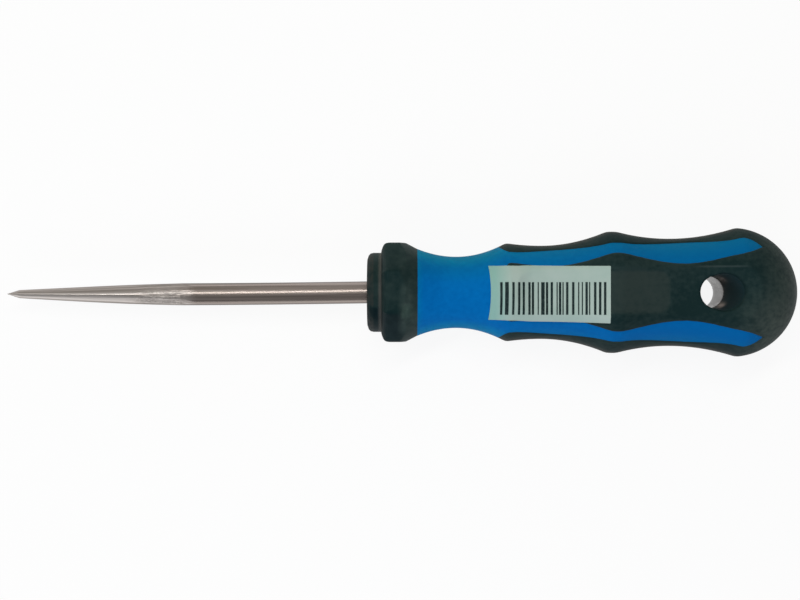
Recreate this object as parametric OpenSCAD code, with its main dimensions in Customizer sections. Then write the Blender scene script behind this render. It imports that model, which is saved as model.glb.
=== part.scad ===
// Bradawl: a square-ground steel blade moulded into a two-colour handle.
// The tool's axis is X, with the point towards -X and the butt towards +X.
// X = 0 is the front face of the collar, where the blade leaves the handle. +Z faces the viewer.

/* [Blade] */
// Steel standing out of the handle
blade_out = 82; // [60:1:110]
// Shank diameter
shank_d = 5; // [4:0.1:6]
// Length of the square ground taper, measured from the point
taper_len = 40; // [25:1:48]
// Length of the steep end point
point_len = 2.9; // [1.5:0.1:5]
// Width across the corners where the steep point meets the taper
point_w = 1.9; // [1.2:0.1:3]
// Width across the flats there, as a share of the width across the corners
flat_share = 0.8; // [0.72:0.01:0.95]
// How far the taper's corners bow out from a straight line
taper_bow = 0.18; // [0:0.02:0.3]
// How far past the taper the flats run out on the round shank
run_out = 3; // [1:0.5:8]

/* [Tang] */
// Plastic left between the tang's end and the hanging hole's lining
tang_back = 9.9; // [4:0.1:20]
// Tang diameter
tang_d = 4; // [3.2:0.1:4.4]
// Span of each pair of stamped wings
wing_span = 7.6; // [6.4:0.1:9]
// Length of one wing
wing_len = 9; // [5:0.5:11]
// Thickness of a wing
wing_t = 1.2; // [0.8:0.1:2]
// Steel left behind the last wing
wing_end = 3; // [2:0.5:6]
// Gap that the moulding leaves round the steel
mould_gap = 0.02; // [0.01:0.01:0.1]

/* [Collar] */
// Diameter of the round step at the front
step_d = 18.2; // [15:0.1:20]
// Length of that step
step_len = 3; // [2:0.1:4]
// How far the collar's front face leans back from the step
face_lean = 0.6; // [0.2:0.1:1]
// Width across the collar's flats
collar_af = 22.4; // [21:0.1:25]
// Diameter over the collar's rounded corners
collar_d = 24; // [23:0.1:24.2]
// Where the rear chamfer starts at a corner
chamfer_x = 7.4; // [6.2:0.1:9]
// Where the collar meets the neck
collar_len = 11.4; // [10:0.1:14]
// Diameter where the collar meets the neck
joint_d = 19.8; // [17:0.1:21]
// Rounding of the step's front edge
step_edge = 1.2; // [0.3:0.1:1.5]
// Rounding of the collar's front edge
collar_edge = 1.6; // [0.3:0.1:2]
// Wall in front of the core's spigot
cap_t = 2; // [1:0.1:3]
// Width across the flats of the spigot that keys the collar to the core
spigot_af = 13; // [11:0.1:15]

/* [Handle] */
// Length of the handle, collar included
handle_len = 97.4; // [92:0.1:110]
// Thinnest place of the neck, as a share of the handle's length
neck_share = 0.208; // [0.18:0.002:0.23]
// Diameter there
neck_d = 16.2; // [14:0.1:18]
// Front crest of the grip, as a share of the handle's length
front_share = 0.324; // [0.3:0.002:0.34]
// Diameter there
front_d = 22.4; // [20:0.1:24]
// Hollow for the first finger, as a share of the handle's length
index_share = 0.405; // [0.385:0.002:0.43]
// Diameter there
index_d = 21.2; // [19:0.1:22]
// Middle crest, as a share of the handle's length
mid_share = 0.57; // [0.54:0.002:0.59]
// Diameter there
mid_d = 27.6; // [25:0.1:29]
// Length of the flat top of the middle crest
mid_land = 2.2; // [1:0.1:4]
// Hollow for the palm, as a share of the handle's length
palm_share = 0.704; // [0.68:0.002:0.72]
// Diameter there
palm_d = 24.4; // [23:0.1:26]
// Diameter of the domed butt
butt_d = 29.4; // [27:0.1:31]
// How far past the middle of the butt's ball the palm's hollow runs
butt_rise = 1.1; // [0:0.1:2]
// Depth of the flats along the front and back of the grip
flat_depth = 1.2; // [0.8:0.05:1.4]
// Length over which those flats run in and out
flat_run = 7; // [4:0.5:9]

/* [Grip panels] */
// Thickness of the soft plastic
grip_t = 1.6; // [1.5:0.1:2]
// How far the stripes lie below the panels
stripe_step = 0.3; // [0.1:0.05:0.5]
// How far in front of the front crest the panels start
panel_lead = 1.8; // [1:0.1:3]
// Length of a panel's rounded front end
panel_nose = 2.4; // [1.6:0.1:4]
// How far behind the two hollows the panels are narrowest
panel_lag = 2.4; // [0:0.1:3]
// Front panel's half width, as shares of the radius at each station
front_shares = [0.60, 0.55, 0.64, 0.525, 0.60];
// Top panel's half width, as shares of the radius at each station
side_shares = [0.56, 0.435, 0.585, 0.385, 0.575];
// The same share where a stripe ends in a point
tip_share = 0.735; // [0.72:0.005:0.76]
// How far past the middle of the butt's ball a stripe ends
stripe_end = 5; // [3:0.1:6]
// How late the front panel's edge turns to that point, as a power
front_bend = 1.8; // [1:0.1:4]
// The same for the top panel's edge
side_bend = 4; // [1:0.1:5]

/* [Name field] */
// How far in front of the first finger's hollow the bare field starts
field_lead = 3.4; // [0:0.1:4.5]
// How far in front of the palm's hollow it ends
field_back = 1.5; // [0:0.1:6]
// Its width
field_w = 9.4; // [7:0.1:9.6]
// Its corner radius
field_r = 2.6; // [1:0.1:3.4]
// Its depth
field_depth = 0.25; // [0.1:0.05:0.5]

/* [Hanging hole] */
// Diameter of the hole
hole_d = 7; // [5:0.1:8]
// Its distance from the middle of the domed butt
hole_back = 5.5; // [5:0.1:8]
// Soft plastic lining the hole
lining_t = 1.4; // [1:0.1:1.8]
// Where the front and the back scoop start, measured from the axis
scoop_zs = [1.5, 8.2];
// Lean of the scoop towards the butt
scoop_lean = 12; // [10:0.5:16]
// Opening angle of the scoop, to one side
scoop_angle = 4; // [3:0.5:8]

/* [Label] */
// How far in front of the front crest the paper label starts
label_lead = 4.4; // [2:0.1:6]
// Its length
label_len = 26.5; // [20:0.5:28]
// Its width
label_w = 12.4; // [8:0.1:13]
// How far it sits below the middle of the front panel
label_drop = 0.55; // [0:0.05:0.8]
// Thickness of the paper
label_t = 0.12; // [0.06:0.01:0.3]
// Glue under the paper
glue_t = 0.03; // [0.02:0.01:0.06]

/* [Hidden] */

// A number of sides above 12 marks a true circle
round_fn = 96;
// Straight steps along one hollow or crest, round the dome and round a small edge
hollow_n = 8;
dome_n = 12;
edge_n = 4;
// Overrun of cutting shapes
over = 1;

shank_r = shank_d / 2;
tang_r = tang_d / 2;
neck_r = neck_d / 2;
front_r = front_d / 2;
index_r = index_d / 2;
mid_r = mid_d / 2;
palm_r = palm_d / 2;
butt_r = butt_d / 2;
hole_r = hole_d / 2;
joint_r = joint_d / 2;
step_r = step_d / 2;
collar_r = collar_d / 2;

tip_x = -blade_out;
neck_x = handle_len * neck_share;
front_x = handle_len * front_share;
index_x = handle_len * index_share;
mid_x = handle_len * mid_share;
palm_x = handle_len * palm_share;
panel_x = front_x - panel_lead;
mid_x0 = mid_x - mid_land / 2;
mid_x1 = mid_x + mid_land / 2;
butt_x = handle_len - butt_r;
rise_x = butt_x + butt_rise;
rise_r = sqrt(butt_r * butt_r - butt_rise * butt_rise);
stripe_x = butt_x + stripe_end;
hole_x = butt_x - hole_back;
tang_len = hole_x - hole_r - lining_t - tang_back;
field_x = index_x - field_lead;
field_len = palm_x - field_back - field_x;
label_x = front_x - label_lead;
reach = butt_d;

// Radius along the handle: each hollow is a parabola that rises to the crests beside it, and the butt a ball
function hollow(x, low_x, low_r, high_x, high_r) =
    low_r + (high_r - low_r) * pow((x - low_x) / (high_x - low_x), 2);
function handle_r(x) =
    x < neck_x ? hollow(x, neck_x, neck_r, collar_len, joint_r) :
    x < front_x ? hollow(x, neck_x, neck_r, front_x, front_r) :
    x < index_x ? hollow(x, index_x, index_r, front_x, front_r) :
    x < mid_x0 ? hollow(x, index_x, index_r, mid_x0, mid_r) :
    x < mid_x1 ? mid_r :
    x < palm_x ? hollow(x, palm_x, palm_r, mid_x1, mid_r) :
    x < rise_x ? hollow(x, palm_x, palm_r, rise_x, rise_r) :
    sqrt(max(0, butt_r * butt_r - (x - butt_x) * (x - butt_x)));

// Smooth step from 0 to 1
function ease(t) = t <= 0 ? 0 : t >= 1 ? 1 : t * t * (3 - 2 * t);

// Stations along the handle from the neck to the ball of the butt
function span(a, b, n) = [for (i = [0 : n - 1]) a + (b - a) * i / n];
body_xs = concat(
    span(collar_len, neck_x, hollow_n),
    span(neck_x, front_x, hollow_n),
    span(front_x, index_x, hollow_n),
    span(index_x, mid_x0, hollow_n),
    [mid_x0],
    span(mid_x1, palm_x, hollow_n),
    span(palm_x, rise_x, hollow_n));

// Round body of the handle, a given depth below its surface. The stripes dip from the panels' front end on
function dome_turn(r, t) = asin(butt_rise / r) * (1 - t) + 90 * t;
function dome_pts(r) = [
    for (i = [0 : dome_n])
        [r * cos(dome_turn(r, i / dome_n)), butt_x + r * sin(dome_turn(r, i / dome_n))]];
function body_pts(depth) = concat(
    [for (x = body_xs) [handle_r(x) - depth, x]],
    dome_pts(butt_r - depth),
    [[0, collar_len]]);
function stripe_dip(x) = stripe_step * ease((x - panel_x) / panel_nose);
stripe_pts = concat(
    [for (x = body_xs) [handle_r(x) - stripe_dip(x), x]],
    dome_pts(butt_r - stripe_step),
    [[0, collar_len]]);

// Front and back faces of the grip, seen from the side: clear of the round body at both ends
function face_z(x) =
    handle_r(x) + over - (flat_depth + over) * ease((x - panel_x) / flat_run)
    * ease((butt_x + flat_run - x) / flat_run);
face_xs = concat(
    span(neck_x, panel_x, edge_n),
    span(panel_x, index_x, hollow_n + edge_n),
    span(index_x, mid_x0, hollow_n),
    [mid_x0],
    span(mid_x1, palm_x, hollow_n),
    span(palm_x, rise_x, hollow_n),
    span(rise_x, butt_x + flat_run, hollow_n),
    [butt_x + flat_run]);
function face_outline(lift) = concat(
    [for (x = face_xs) [x, face_z(x) + lift]],
    [[handle_len + over, butt_r], [handle_len + over, -butt_r]],
    [for (i = [len(face_xs) - 1 : -1 : 0]) [face_xs[i], -face_z(face_xs[i]) - lift]]);

// Half width of a panel: shares of the radius, eased from station to station, then out to the stripe's point
station_xs = [front_x, index_x + panel_lag, mid_x, palm_x + panel_lag, butt_x];
function eased_share(x, shares, i) =
    shares[i] + (shares[i + 1] - shares[i]) * ease((x - station_xs[i]) / (station_xs[i + 1] - station_xs[i]));
function share_at(x, shares, end, bend) =
    x < station_xs[0] ? shares[0] :
    x < station_xs[1] ? eased_share(x, shares, 0) :
    x < station_xs[2] ? eased_share(x, shares, 1) :
    x < station_xs[3] ? eased_share(x, shares, 2) :
    x < station_xs[4] ? eased_share(x, shares, 3) :
    shares[4] + (end - shares[4]) * pow((x - butt_x) / stripe_end, bend);
function nose(x) =
    x < panel_x + panel_nose ? sqrt(max(0, 1 - pow(1 - (x - panel_x) / panel_nose, 2))) : 1;
function panel_half(x, shares, end, bend) = share_at(x, shares, end, bend) * handle_r(x) * nose(x);
nose_xs = [for (i = [0 : hollow_n - 1]) panel_x + panel_nose * (1 - cos(90 * i / hollow_n))];
panel_xs = concat(
    nose_xs,
    span(panel_x + panel_nose, index_x, hollow_n),
    span(index_x, mid_x, hollow_n),
    span(mid_x, palm_x, hollow_n),
    span(palm_x, butt_x, hollow_n),
    span(butt_x, stripe_x, edge_n),
    [stripe_x]);
function panel_outline(shares, end, bend) = concat(
    [for (x = panel_xs) [x, panel_half(x, shares, end, bend)]],
    [[stripe_x + over, reach], [handle_len + over, reach]],
    [[handle_len + over, -reach], [stripe_x + over, -reach]],
    [for (i = [len(panel_xs) - 1 : -1 : 1]) [panel_xs[i], -panel_half(panel_xs[i], shares, end, bend)]]);

// Turns a shape made round Z so that it lies along X
module along_x() {
    rotate([0, 90, 0]) children();
}

// A shape drawn in X and Y, cut through the whole tool from front to back
module through_z() {
    translate([0, 0, -reach]) linear_extrude(height = 2 * reach) children();
}

// A shape drawn in X and Z, cut through the whole tool from side to side
module through_y() {
    rotate([90, 0, 0]) through_z() children();
}

// Handle surface with its front and back faces, lowered by a depth
module grip_body(depth) {
    intersection() {
        along_x() rotate_extrude($fn = round_fn) polygon(body_pts(depth));
        through_y() polygon(face_outline(-depth));
    }
}

// Everything in front of, behind, above and below the core that belongs to the four panels and the butt
module panel_zone() {
    through_z() polygon(panel_outline(front_shares, tip_share, front_bend));
    through_y() polygon(panel_outline(side_shares, sqrt(1 - tip_share * tip_share), side_bend));
}

// Hanging hole with a scoop towards the butt on both faces, grown for the lining's seat in the core
module hole_cut(grow) {
    translate([hole_x, 0, -reach]) cylinder(h = 2 * reach, r = hole_r + grow, $fn = round_fn);
    for (side = [0, 1]) {
        mirror([0, 0, side])
            translate([hole_x, 0, scoop_zs[side]])
                rotate([0, scoop_lean, 0])
                    cylinder(
                        h = reach,
                        r1 = hole_r + grow - mould_gap,
                        r2 = hole_r + grow + reach * tan(scoop_angle),
                        $fn = round_fn);
    }
}

// Tang with its two pairs of wings, grown for the seat that the moulding leaves round it
wing_rise = (wing_span - tang_d) / 2;
function wing_pts(grow) = [
    [-wing_len / 2 - grow, 0],
    [-wing_len / 2 + wing_rise - grow, wing_span / 2 + grow],
    [wing_len / 2 - wing_rise + grow, wing_span / 2 + grow],
    [wing_len / 2 + grow, 0],
    [wing_len / 2 - wing_rise + grow, -wing_span / 2 - grow],
    [-wing_len / 2 + wing_rise - grow, -wing_span / 2 - grow]];
module wing(grow) {
    translate([0, 0, -wing_t / 2 - grow]) linear_extrude(height = wing_t + 2 * grow) polygon(wing_pts(grow));
}
module tang(grow) {
    along_x() cylinder(h = tang_len + grow, r = tang_r + grow, $fn = round_fn);
    translate([tang_len - wing_end - wing_len / 2, 0, 0]) wing(grow);
    translate([tang_len - wing_end - wing_len - wing_len / 2, 0, 0]) rotate([90, 0, 0]) wing(grow);
}

// Steel blade: a round bar ground to a square taper with a steep point, and its tang
function taper_pt(t) = [
    point_w / 2 + (shank_r - point_w / 2) * t + taper_bow * 4 * t * (1 - t),
    tip_x + point_len + (taper_len - point_len) * t];
flats_x = tip_x + taper_len + run_out;
point_half = point_w * flat_share / 2;
flat_pts = [
    [tip_x, 0],
    [tip_x + point_len, point_half],
    [flats_x, shank_r],
    [0, shank_r + over],
    [0, -shank_r - over],
    [flats_x, -shank_r],
    [tip_x + point_len, -point_half]];
module blade() {
    color("#a09890") {
        intersection() {
            along_x() rotate_extrude($fn = round_fn)
                polygon(concat(
                    [[0, tip_x]],
                    [for (i = [0 : edge_n]) taper_pt(i / edge_n)],
                    [[shank_r, 0], [0, 0]]));
            rotate([45, 0, 0]) through_z() polygon(flat_pts);
            rotate([-45, 0, 0]) through_z() polygon(flat_pts);
        }
        tang(0);
    }
}

// Blue core: neck, four stripes, the body under the panels and the spigot under the collar
module handle_core() {
    color("#0a66a6") difference() {
        union() {
            difference() {
                along_x() rotate_extrude($fn = round_fn) polygon(stripe_pts);
                panel_zone();
            }
            grip_body(grip_t);
            translate([cap_t + mould_gap, 0, 0]) along_x() rotate([0, 0, 22.5])
                cylinder(h = collar_len, r = spigot_af / 2 / cos(22.5), $fn = 8);
        }
        tang(mould_gap);
        hole_cut(lining_t);
    }
}

// Black collar: a round step, eight flats with rounded front edges and a conical rear chamfer, keyed on the
// core's spigot
function corner(r, x, edge) = [
    for (i = [0 : edge_n])
        [r - edge + edge * sin(90 * i / edge_n), x + edge - edge * cos(90 * i / edge_n)]];
flat_half = concat(
    corner(collar_af / 2, step_len + face_lean, collar_edge),
    [[collar_af / 2, collar_len + over]]);
module flat_pair() {
    through_z() polygon(concat(
        [[0, 0]],
        [for (p = flat_half) [p[1], p[0]]],
        [for (i = [len(flat_half) - 1 : -1 : 0]) [flat_half[i][1], -flat_half[i][0]]]));
}
module eight_flats() {
    intersection_for(turn = [0 : 45 : 135]) rotate([turn, 0, 0]) flat_pair();
}
module front_collar() {
    color("#2a3030") difference() {
        union() {
            along_x() rotate_extrude($fn = round_fn)
                polygon(concat(
                    [[0, 0]],
                    corner(step_r, 0, step_edge),
                    [[step_r, step_len + over], [0, step_len + over]]));
            intersection() {
                along_x() rotate_extrude($fn = round_fn)
                    polygon([
                        [0, step_len - over],
                        [collar_r, step_len - over],
                        [collar_r, chamfer_x],
                        [joint_r, collar_len],
                        [0, collar_len]]);
                eight_flats();
            }
        }
        along_x() translate([0, 0, -over])
            cylinder(h = collar_len, r = tang_r + mould_gap, $fn = round_fn);
        translate([cap_t, 0, 0]) along_x() rotate([0, 0, 22.5])
            cylinder(h = collar_len, r = (spigot_af / 2 + mould_gap) / cos(22.5), $fn = 8);
    }
}

// Black soft panels, the butt, the lining of the hanging hole and the bare field in front
module field_outline() {
    for (x = [field_x + field_r, field_x + field_len - field_r], y = [-1, 1])
        translate([x, y * (field_w / 2 - field_r)]) circle(r = field_r, $fn = round_fn);
    translate([field_x + field_r, -field_w / 2]) square([field_len - 2 * field_r, field_w]);
    translate([field_x, field_r - field_w / 2]) square([field_len, field_w - 2 * field_r]);
}
module grip_overmould() {
    color("#242a2a") difference() {
        intersection() {
            grip_body(0);
            panel_zone();
        }
        difference() {
            grip_body(grip_t);
            hole_cut(lining_t);
        }
        hole_cut(0);
        difference() {
            linear_extrude(height = reach) field_outline();
            through_y() polygon(face_outline(-field_depth));
        }
    }
}

// Paper label, glued over the neck flare and the front panel
module paper_label() {
    color("#a9b8b2") difference() {
        intersection() {
            grip_body(-glue_t - label_t);
            translate([label_x, -label_w / 2 - label_drop, 0]) cube([label_len, label_w, reach]);
        }
        grip_body(-glue_t);
    }
}

blade();
handle_core();
front_collar();
grip_overmould();
paper_label();
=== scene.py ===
import math
import bmesh
import bpy
import numpy as np
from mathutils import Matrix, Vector


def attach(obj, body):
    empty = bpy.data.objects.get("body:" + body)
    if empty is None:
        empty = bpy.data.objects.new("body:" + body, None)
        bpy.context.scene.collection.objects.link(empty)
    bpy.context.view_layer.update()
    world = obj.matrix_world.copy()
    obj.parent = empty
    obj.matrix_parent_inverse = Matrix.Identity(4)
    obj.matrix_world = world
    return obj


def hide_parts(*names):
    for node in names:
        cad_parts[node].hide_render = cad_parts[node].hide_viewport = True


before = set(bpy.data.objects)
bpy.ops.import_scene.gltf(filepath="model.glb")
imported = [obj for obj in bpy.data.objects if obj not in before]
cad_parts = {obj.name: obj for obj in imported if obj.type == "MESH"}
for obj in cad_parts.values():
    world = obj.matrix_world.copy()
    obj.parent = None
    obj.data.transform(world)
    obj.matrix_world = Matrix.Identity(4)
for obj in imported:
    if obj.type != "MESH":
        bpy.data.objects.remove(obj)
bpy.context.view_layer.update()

# Blade
# One bar of tool steel: a drawn round shank, ground on four sides to a square taper that runs out on the
# round, with a short steep point. Its tang is moulded into the handle, so only the bare length is made here.


def add_node(tree, kind, **settings):
    """One node of a tree, with its own settings."""
    node = tree.nodes.new(kind)
    for name, value in settings.items():
        setattr(node, name, value)
    return node


def feed(tree, socket, value):
    """Joins an output to an input, or writes a plain value on it."""
    if isinstance(value, bpy.types.NodeSocket):
        tree.links.new(value, socket)
    else:
        socket.default_value = value


def reckon(tree, operation, *values):
    """One sum on numbers or sockets."""
    node = add_node(tree, "ShaderNodeMath", operation=operation)
    for socket, value in zip(node.inputs, values):
        feed(tree, socket, value)
    return node.outputs[0]


def joined(tree, *parts):
    """A place put together from its three parts."""
    node = add_node(tree, "ShaderNodeCombineXYZ")
    for socket, part in zip(node.inputs, parts):
        feed(tree, socket, part)
    return node.outputs[0]


def parts_of(tree, place):
    """The three parts of a place."""
    split = add_node(tree, "ShaderNodeSeparateXYZ")
    feed(tree, split.inputs[0], place)
    return split.outputs


def then(tree, kind, geometry, **inputs):
    """The next step of a geometry, with its inputs."""
    node = add_node(tree, kind)
    feed(tree, node.inputs["Geometry"], geometry)
    for name, value in inputs.items():
        feed(tree, node.inputs[name], value)
    return node.outputs[0]


def blade_form():
    """Tree that bends a grid round the axis: a cone and a round bar, cut by the four flats of the taper."""
    tree = bpy.data.node_groups.new("blade_form", "GeometryNodeTree")
    sizes = ("Bare length", "Shank radius", "Taper length", "Point length", "Point radius", "Flat share",
             "Run-out", "Seat in collar", "Corner rounding", "Belly", "Twist", "Lean", "Bow")
    for name in sizes:
        tree.interface.new_socket(name, in_out="INPUT", socket_type="NodeSocketFloat")
    tree.interface.new_socket("Steel", in_out="INPUT", socket_type="NodeSocketMaterial")
    tree.interface.new_socket("Geometry", in_out="OUTPUT", socket_type="NodeSocketGeometry")
    given = add_node(tree, "NodeGroupInput").outputs
    (out, shank, taper, point, tip, share, run, seat, corner, belly, twist, lean,
     bend) = [given[name] for name in sizes]

    rows_along, rows_round, crowding = 321, 97, 1.25
    grid = add_node(tree, "GeometryNodeMeshGrid")
    for socket, value in zip(grid.inputs, (1.0, 1.0, rows_along, rows_round)):
        socket.default_value = value
    place = parts_of(tree, add_node(tree, "GeometryNodeInputPosition").outputs[0])
    along = reckon(tree, "POWER", reckon(tree, "ADD", place[0], 0.5), crowding)
    turn = reckon(tree, "MULTIPLY", place[1], 2 * math.pi)
    from_tip = reckon(tree, "MULTIPLY", along, reckon(tree, "ADD", out, seat))

    past = reckon(tree, "SUBTRACT", from_tip, point)
    steep = reckon(tree, "DIVIDE", from_tip, point)
    slope = reckon(tree, "DIVIDE", past, reckon(tree, "SUBTRACT", taper, point))
    cone = reckon(tree, "MULTIPLY_ADD", slope, reckon(tree, "SUBTRACT", shank, tip), tip)
    bow = reckon(tree, "MULTIPLY", reckon(tree, "MULTIPLY", slope, reckon(tree, "SUBTRACT", 1.0, slope)), 4.0)
    cone = reckon(tree, "MULTIPLY_ADD", bow, belly, cone)
    bar = reckon(tree, "MINIMUM", reckon(tree, "MULTIPLY", steep, tip), reckon(tree, "MINIMUM", cone, shank))

    flat_tip = reckon(tree, "MULTIPLY", tip, share)
    fade = reckon(tree, "DIVIDE", past, reckon(tree, "SUBTRACT", reckon(tree, "ADD", taper, run), point))
    flat = reckon(tree, "MULTIPLY_ADD", fade, reckon(tree, "SUBTRACT", shank, flat_tip), flat_tip)
    flat = reckon(tree, "MINIMUM", reckon(tree, "MULTIPLY", steep, flat_tip), flat)
    turned = reckon(tree, "ADD", turn, reckon(tree, "ADD", twist, math.pi / 4))
    across = reckon(tree, "MAXIMUM", reckon(tree, "ABSOLUTE", reckon(tree, "COSINE", turned)),
                    reckon(tree, "ABSOLUTE", reckon(tree, "SINE", turned)))
    left = reckon(tree, "MINIMUM", reckon(tree, "MAXIMUM", reckon(tree, "SUBTRACT", 1.0, slope), 0.0), 1.0)
    corner = reckon(tree, "MULTIPLY", reckon(tree, "MULTIPLY", bar, left), corner)
    radius = reckon(tree, "SMOOTH_MIN", bar, reckon(tree, "DIVIDE", flat, across), corner)
    before_back = reckon(tree, "LESS_THAN", along, 0.9999)
    radius = reckon(tree, "MULTIPLY", reckon(tree, "MAXIMUM", radius, 0.0), before_back)

    x = reckon(tree, "SUBTRACT", from_tip, out)
    sine = reckon(tree, "SINE", turn)
    cosine = reckon(tree, "COSINE", turn)
    y = reckon(tree, "MULTIPLY", radius, sine)
    y = reckon(tree, "MULTIPLY_ADD", x, reckon(tree, "MULTIPLY_ADD", x, bend, lean), y)
    z = reckon(tree, "MULTIPLY", radius, cosine)
    kept = add_node(tree, "GeometryNodeStoreNamedAttribute", data_type="FLOAT_VECTOR", domain="POINT")
    feed(tree, kept.inputs["Geometry"], grid.outputs["Mesh"])
    kept.inputs["Name"].default_value = "round_bar"
    feed(tree, kept.inputs["Value"], joined(tree, x, sine, cosine))
    moved = then(tree, "GeometryNodeSetPosition", kept.outputs[0], Position=joined(tree, x, y, z))
    closed = then(tree, "GeometryNodeMergeByDistance", moved, Distance=2e-7)
    whole = then(tree, "GeometryNodeRealizeInstances", closed)
    dressed = then(tree, "GeometryNodeSetMaterial", whole, Material=given["Steel"])
    feed(tree, add_node(tree, "NodeGroupOutput").inputs[0], dressed)
    return tree


def smooth_piece(name, mesh, sheet=False):
    """Closes a mesh's seams, turns its faces outwards and links it as a smooth piece at the origin."""
    shell = bmesh.new()
    shell.from_mesh(mesh)
    bmesh.ops.remove_doubles(shell, verts=shell.verts, dist=1e-7)
    bmesh.ops.dissolve_degenerate(shell, edges=shell.edges, dist=1e-8)
    bmesh.ops.delete(shell, geom=[e for e in shell.edges if not e.link_faces], context="EDGES")
    if not sheet:
        bmesh.ops.recalc_face_normals(shell, faces=shell.faces)
    for face in shell.faces:
        face.smooth = True
    shell.to_mesh(mesh)
    shell.free()
    mesh.name = name
    piece = bpy.data.objects.new(name, mesh)
    bpy.context.scene.collection.objects.link(piece)
    return piece


def grow(name, tree, values, start=None, sheet=False):
    """Runs a tree on a start mesh with its named sizes and keeps the result as a plain smooth mesh."""
    seed = bpy.data.objects.new(name + "_seed", start or bpy.data.meshes.new(name + "_seed"))
    bpy.context.scene.collection.objects.link(seed)
    modifier = seed.modifiers.new("form", "NODES")
    modifier.node_group = tree
    for item in tree.interface.items_tree:
        if item.item_type == "SOCKET" and item.in_out == "INPUT" and item.name in values:
            modifier[item.identifier] = values[item.name]
    bpy.context.view_layer.update()
    mesh = bpy.data.meshes.new_from_object(seed.evaluated_get(bpy.context.evaluated_depsgraph_get()))
    seed.modifiers.clear()
    bpy.data.objects.remove(seed)
    finish = next(m for m in mesh.materials if m)
    mesh.materials.clear()
    mesh.materials.append(finish)
    return smooth_piece(name, mesh, sheet)


def new_material(name, colour, rough, metal=0.0, specular=0.5, tint=(1, 1, 1)):
    """A surface with its plain values set on the shader, and the sockets that the finishes below feed."""
    material = bpy.data.materials.new(name)
    material.use_nodes = True
    shader = material.node_tree.nodes["Principled BSDF"]
    shader.inputs["Base Color"].default_value = (*colour, 1)
    shader.inputs["Roughness"].default_value = rough
    shader.inputs["Metallic"].default_value = metal
    shader.inputs["Specular IOR Level"].default_value = specular
    shader.inputs["Specular Tint"].default_value = (*tint, 1)
    return material, material.node_tree, shader


def stretched_noise(tree, scale, detail=3.0, distortion=0.0, place=None):
    """Noise on the piece's own place or a given one, with its waves per metre along each axis."""
    mapping = add_node(tree, "ShaderNodeMapping")
    mapping.inputs["Scale"].default_value = scale
    feed(tree, mapping.inputs["Vector"], place or add_node(tree, "ShaderNodeTexCoord").outputs["Object"])
    noise = add_node(tree, "ShaderNodeTexNoise")
    noise.inputs["Scale"].default_value = 1.0
    noise.inputs["Detail"].default_value = detail
    noise.inputs["Distortion"].default_value = distortion
    feed(tree, noise.inputs["Vector"], mapping.outputs[0])
    return noise.outputs["Fac"]


def between(tree, value, low, high, to_low, to_high):
    """Maps a range of a value onto another, held at both ends."""
    node = add_node(tree, "ShaderNodeMapRange")
    for socket, number in zip(node.inputs, (value, low, high, to_low, to_high)):
        feed(tree, socket, number)
    return node.outputs[0]


def blended(tree, share, first, second, kind="MIX"):
    """Colour between two colours, or a colour toned by another."""
    node = add_node(tree, "ShaderNodeMix", data_type="RGBA", blend_type=kind)
    feed(tree, node.inputs["Factor"], share)
    for socket, colour in zip((node.inputs[6], node.inputs[7]), (first, second)):
        feed(tree, socket, colour if isinstance(colour, bpy.types.NodeSocket) else (*colour, 1))
    return node.outputs[2]


def raised(tree, shader, height, depth, strength=1.0):
    """Fine relief of a surface, with its depth in metres."""
    bump = add_node(tree, "ShaderNodeBump")
    bump.inputs["Strength"].default_value = strength
    bump.inputs["Distance"].default_value = depth
    feed(tree, bump.inputs["Height"], height)
    feed(tree, shader.inputs["Normal"], bump.outputs[0])


def piece_place(tree):
    """Place on a piece in metres: along the tool, up across it and out towards the viewer."""
    return parts_of(tree, add_node(tree, "ShaderNodeTexCoord").outputs["Object"])


def product(tree, first, *others):
    """Shares multiplied."""
    for other in others:
        first = reckon(tree, "MULTIPLY", first, other)
    return first


def off(tree, value, middle):
    """How far a value lies from a middle, to either side."""
    return reckon(tree, "ABSOLUTE", reckon(tree, "SUBTRACT", value, middle))


bare_length, taper_length = 0.082, 0.040
shoulder = taper_length - bare_length
steel, tree, shader = new_material("ground_steel", (0.34, 0.315, 0.29), 0.4, metal=1.0)
lay = add_node(tree, "ShaderNodeAttribute", attribute_name="round_bar").outputs["Vector"]
drawn = stretched_noise(tree, (25, 7, 7), 4, place=lay)
ground = stretched_noise(tree, (700, 6, 6), 3, 1.0, place=lay)
along = piece_place(tree)[0]
around = parts_of(tree, lay)[1]
worked = between(tree, along, shoulder + 0.0035, shoulder - 0.0015, 0, 1)
crossed = product(tree, worked, between(tree, along, shoulder - 0.011, shoulder - 0.007, 0.3, 10.0))
streak = between(tree, drawn, 0.36, 0.64, 0, 1)
plain = blended(tree, streak, (0.32, 0.27, 0.243), (0.46, 0.40, 0.37))
dull = blended(tree, streak, (0.34, 0.30, 0.275), (0.66, 0.60, 0.565))
# On the ground taper a brighter tone lies in a band on the lower flat and along the corner: a painted
# reflection and a painted highlight. Near the run-out, noise breaks the band into painted sparkles.
painted_bright_tone = blended(tree, streak, (0.66, 0.61, 0.58), (0.97, 0.92, 0.885))
painted_bright_bands = product(tree, between(tree, around, -0.1, -0.2, 0, 1), between(tree, around, -0.95, -0.86, 0, 1))
crest = between(tree, off(tree, around, 0.12), 0.1, 0.22, 1, 0)
painted_bright_bands = reckon(tree, "MAXIMUM", painted_bright_bands, crest)
painted_sparkle_zone = product(tree, between(tree, along, shoulder - 0.013, shoulder - 0.009, 0, 1),
                  between(tree, along, shoulder, shoulder + 0.0015, 1, 0))
glint = between(tree, stretched_noise(tree, (1900, 9, 9), 2, 1.5, place=lay), 0.46, 0.6, 0.25, 1)
dimmed = reckon(tree, "MULTIPLY_ADD", painted_sparkle_zone, reckon(tree, "SUBTRACT", glint, 1.0), 1.0)
painted_bright_bands = product(tree, painted_bright_bands, dimmed)
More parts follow.
